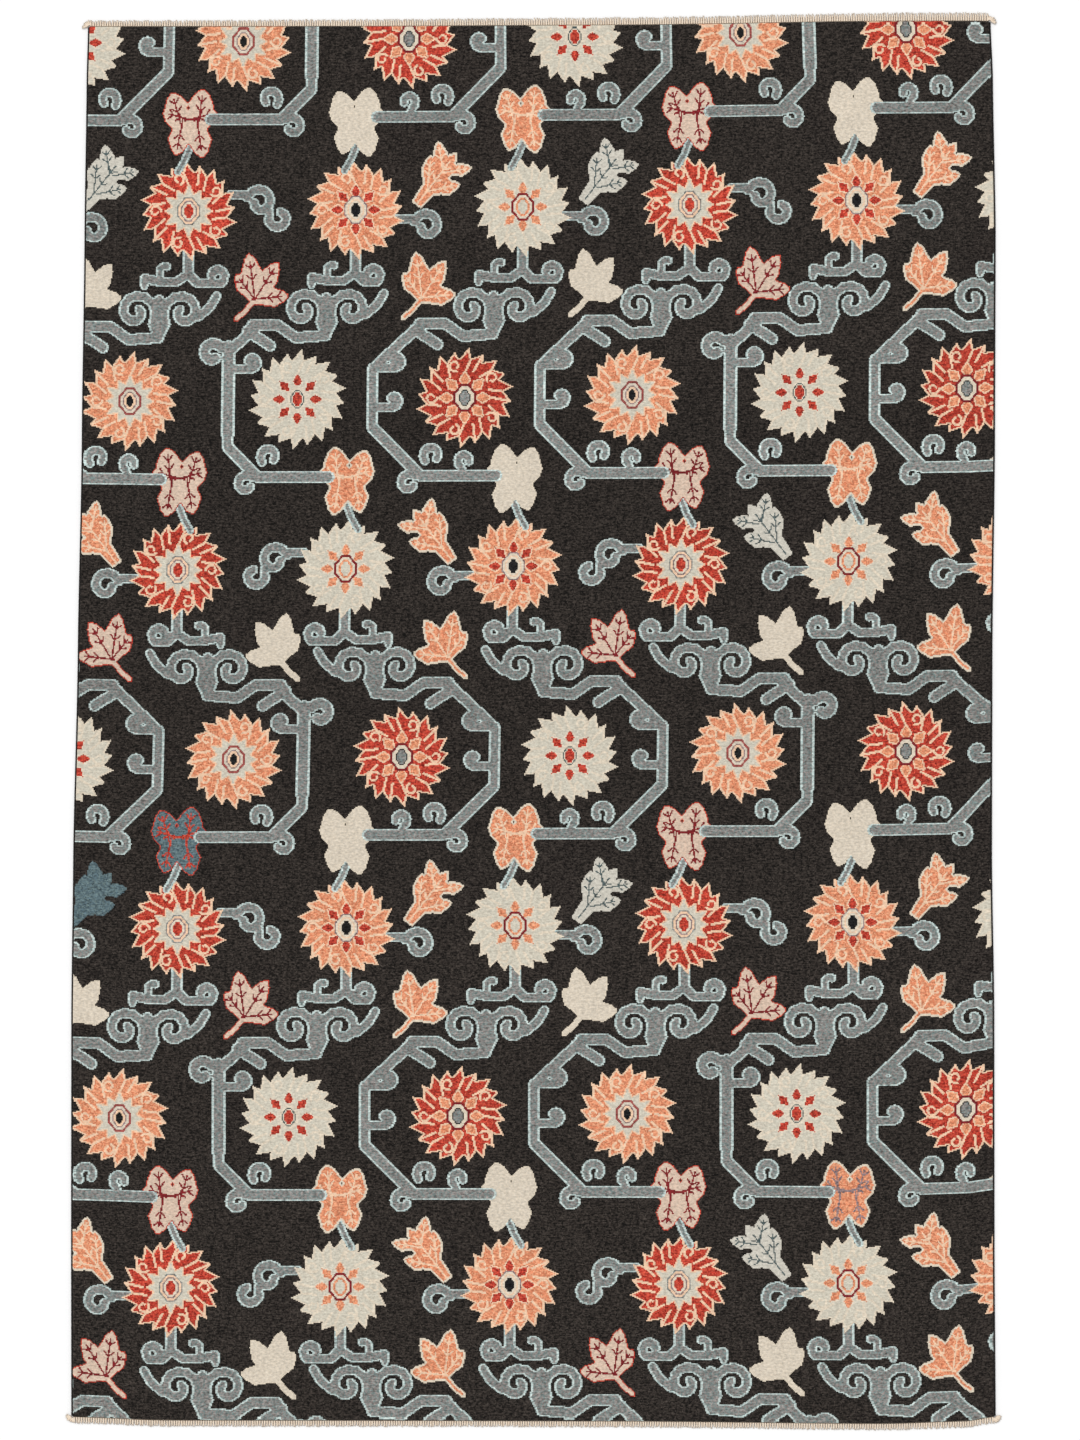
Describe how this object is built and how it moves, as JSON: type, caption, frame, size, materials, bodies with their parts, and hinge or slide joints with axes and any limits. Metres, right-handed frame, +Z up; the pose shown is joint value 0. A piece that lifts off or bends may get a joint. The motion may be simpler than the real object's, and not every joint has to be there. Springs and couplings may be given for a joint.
{
  "type": "kazak rug",
  "caption": "Rectangular hand-knotted wool pile rug, lying flat, with overcast sides and a short cut-warp fringe at both ends.",
  "frame": {"origin": "middle of the rug's underside, on the floor", "axes": "+X across the width to the right selvedge, +Y along the length to the far end, +Z up out of the pile"},
  "size_m": [2.0056, 3.0532, 0.008],
  "materials": {
    "pile_wool": "sheared wool pile, matt",
    "selvedge_wool": "overcast wool, matt",
    "warp_cotton": "unbleached cotton, matt"
  },
  "bodies": {
    "root": {"rug_body": "pile_wool", "selvedge_left": "selvedge_wool", "selvedge_right": "selvedge_wool", "fringe_near": "warp_cotton", "fringe_far": "warp_cotton"}
  },
  "joints": []
}
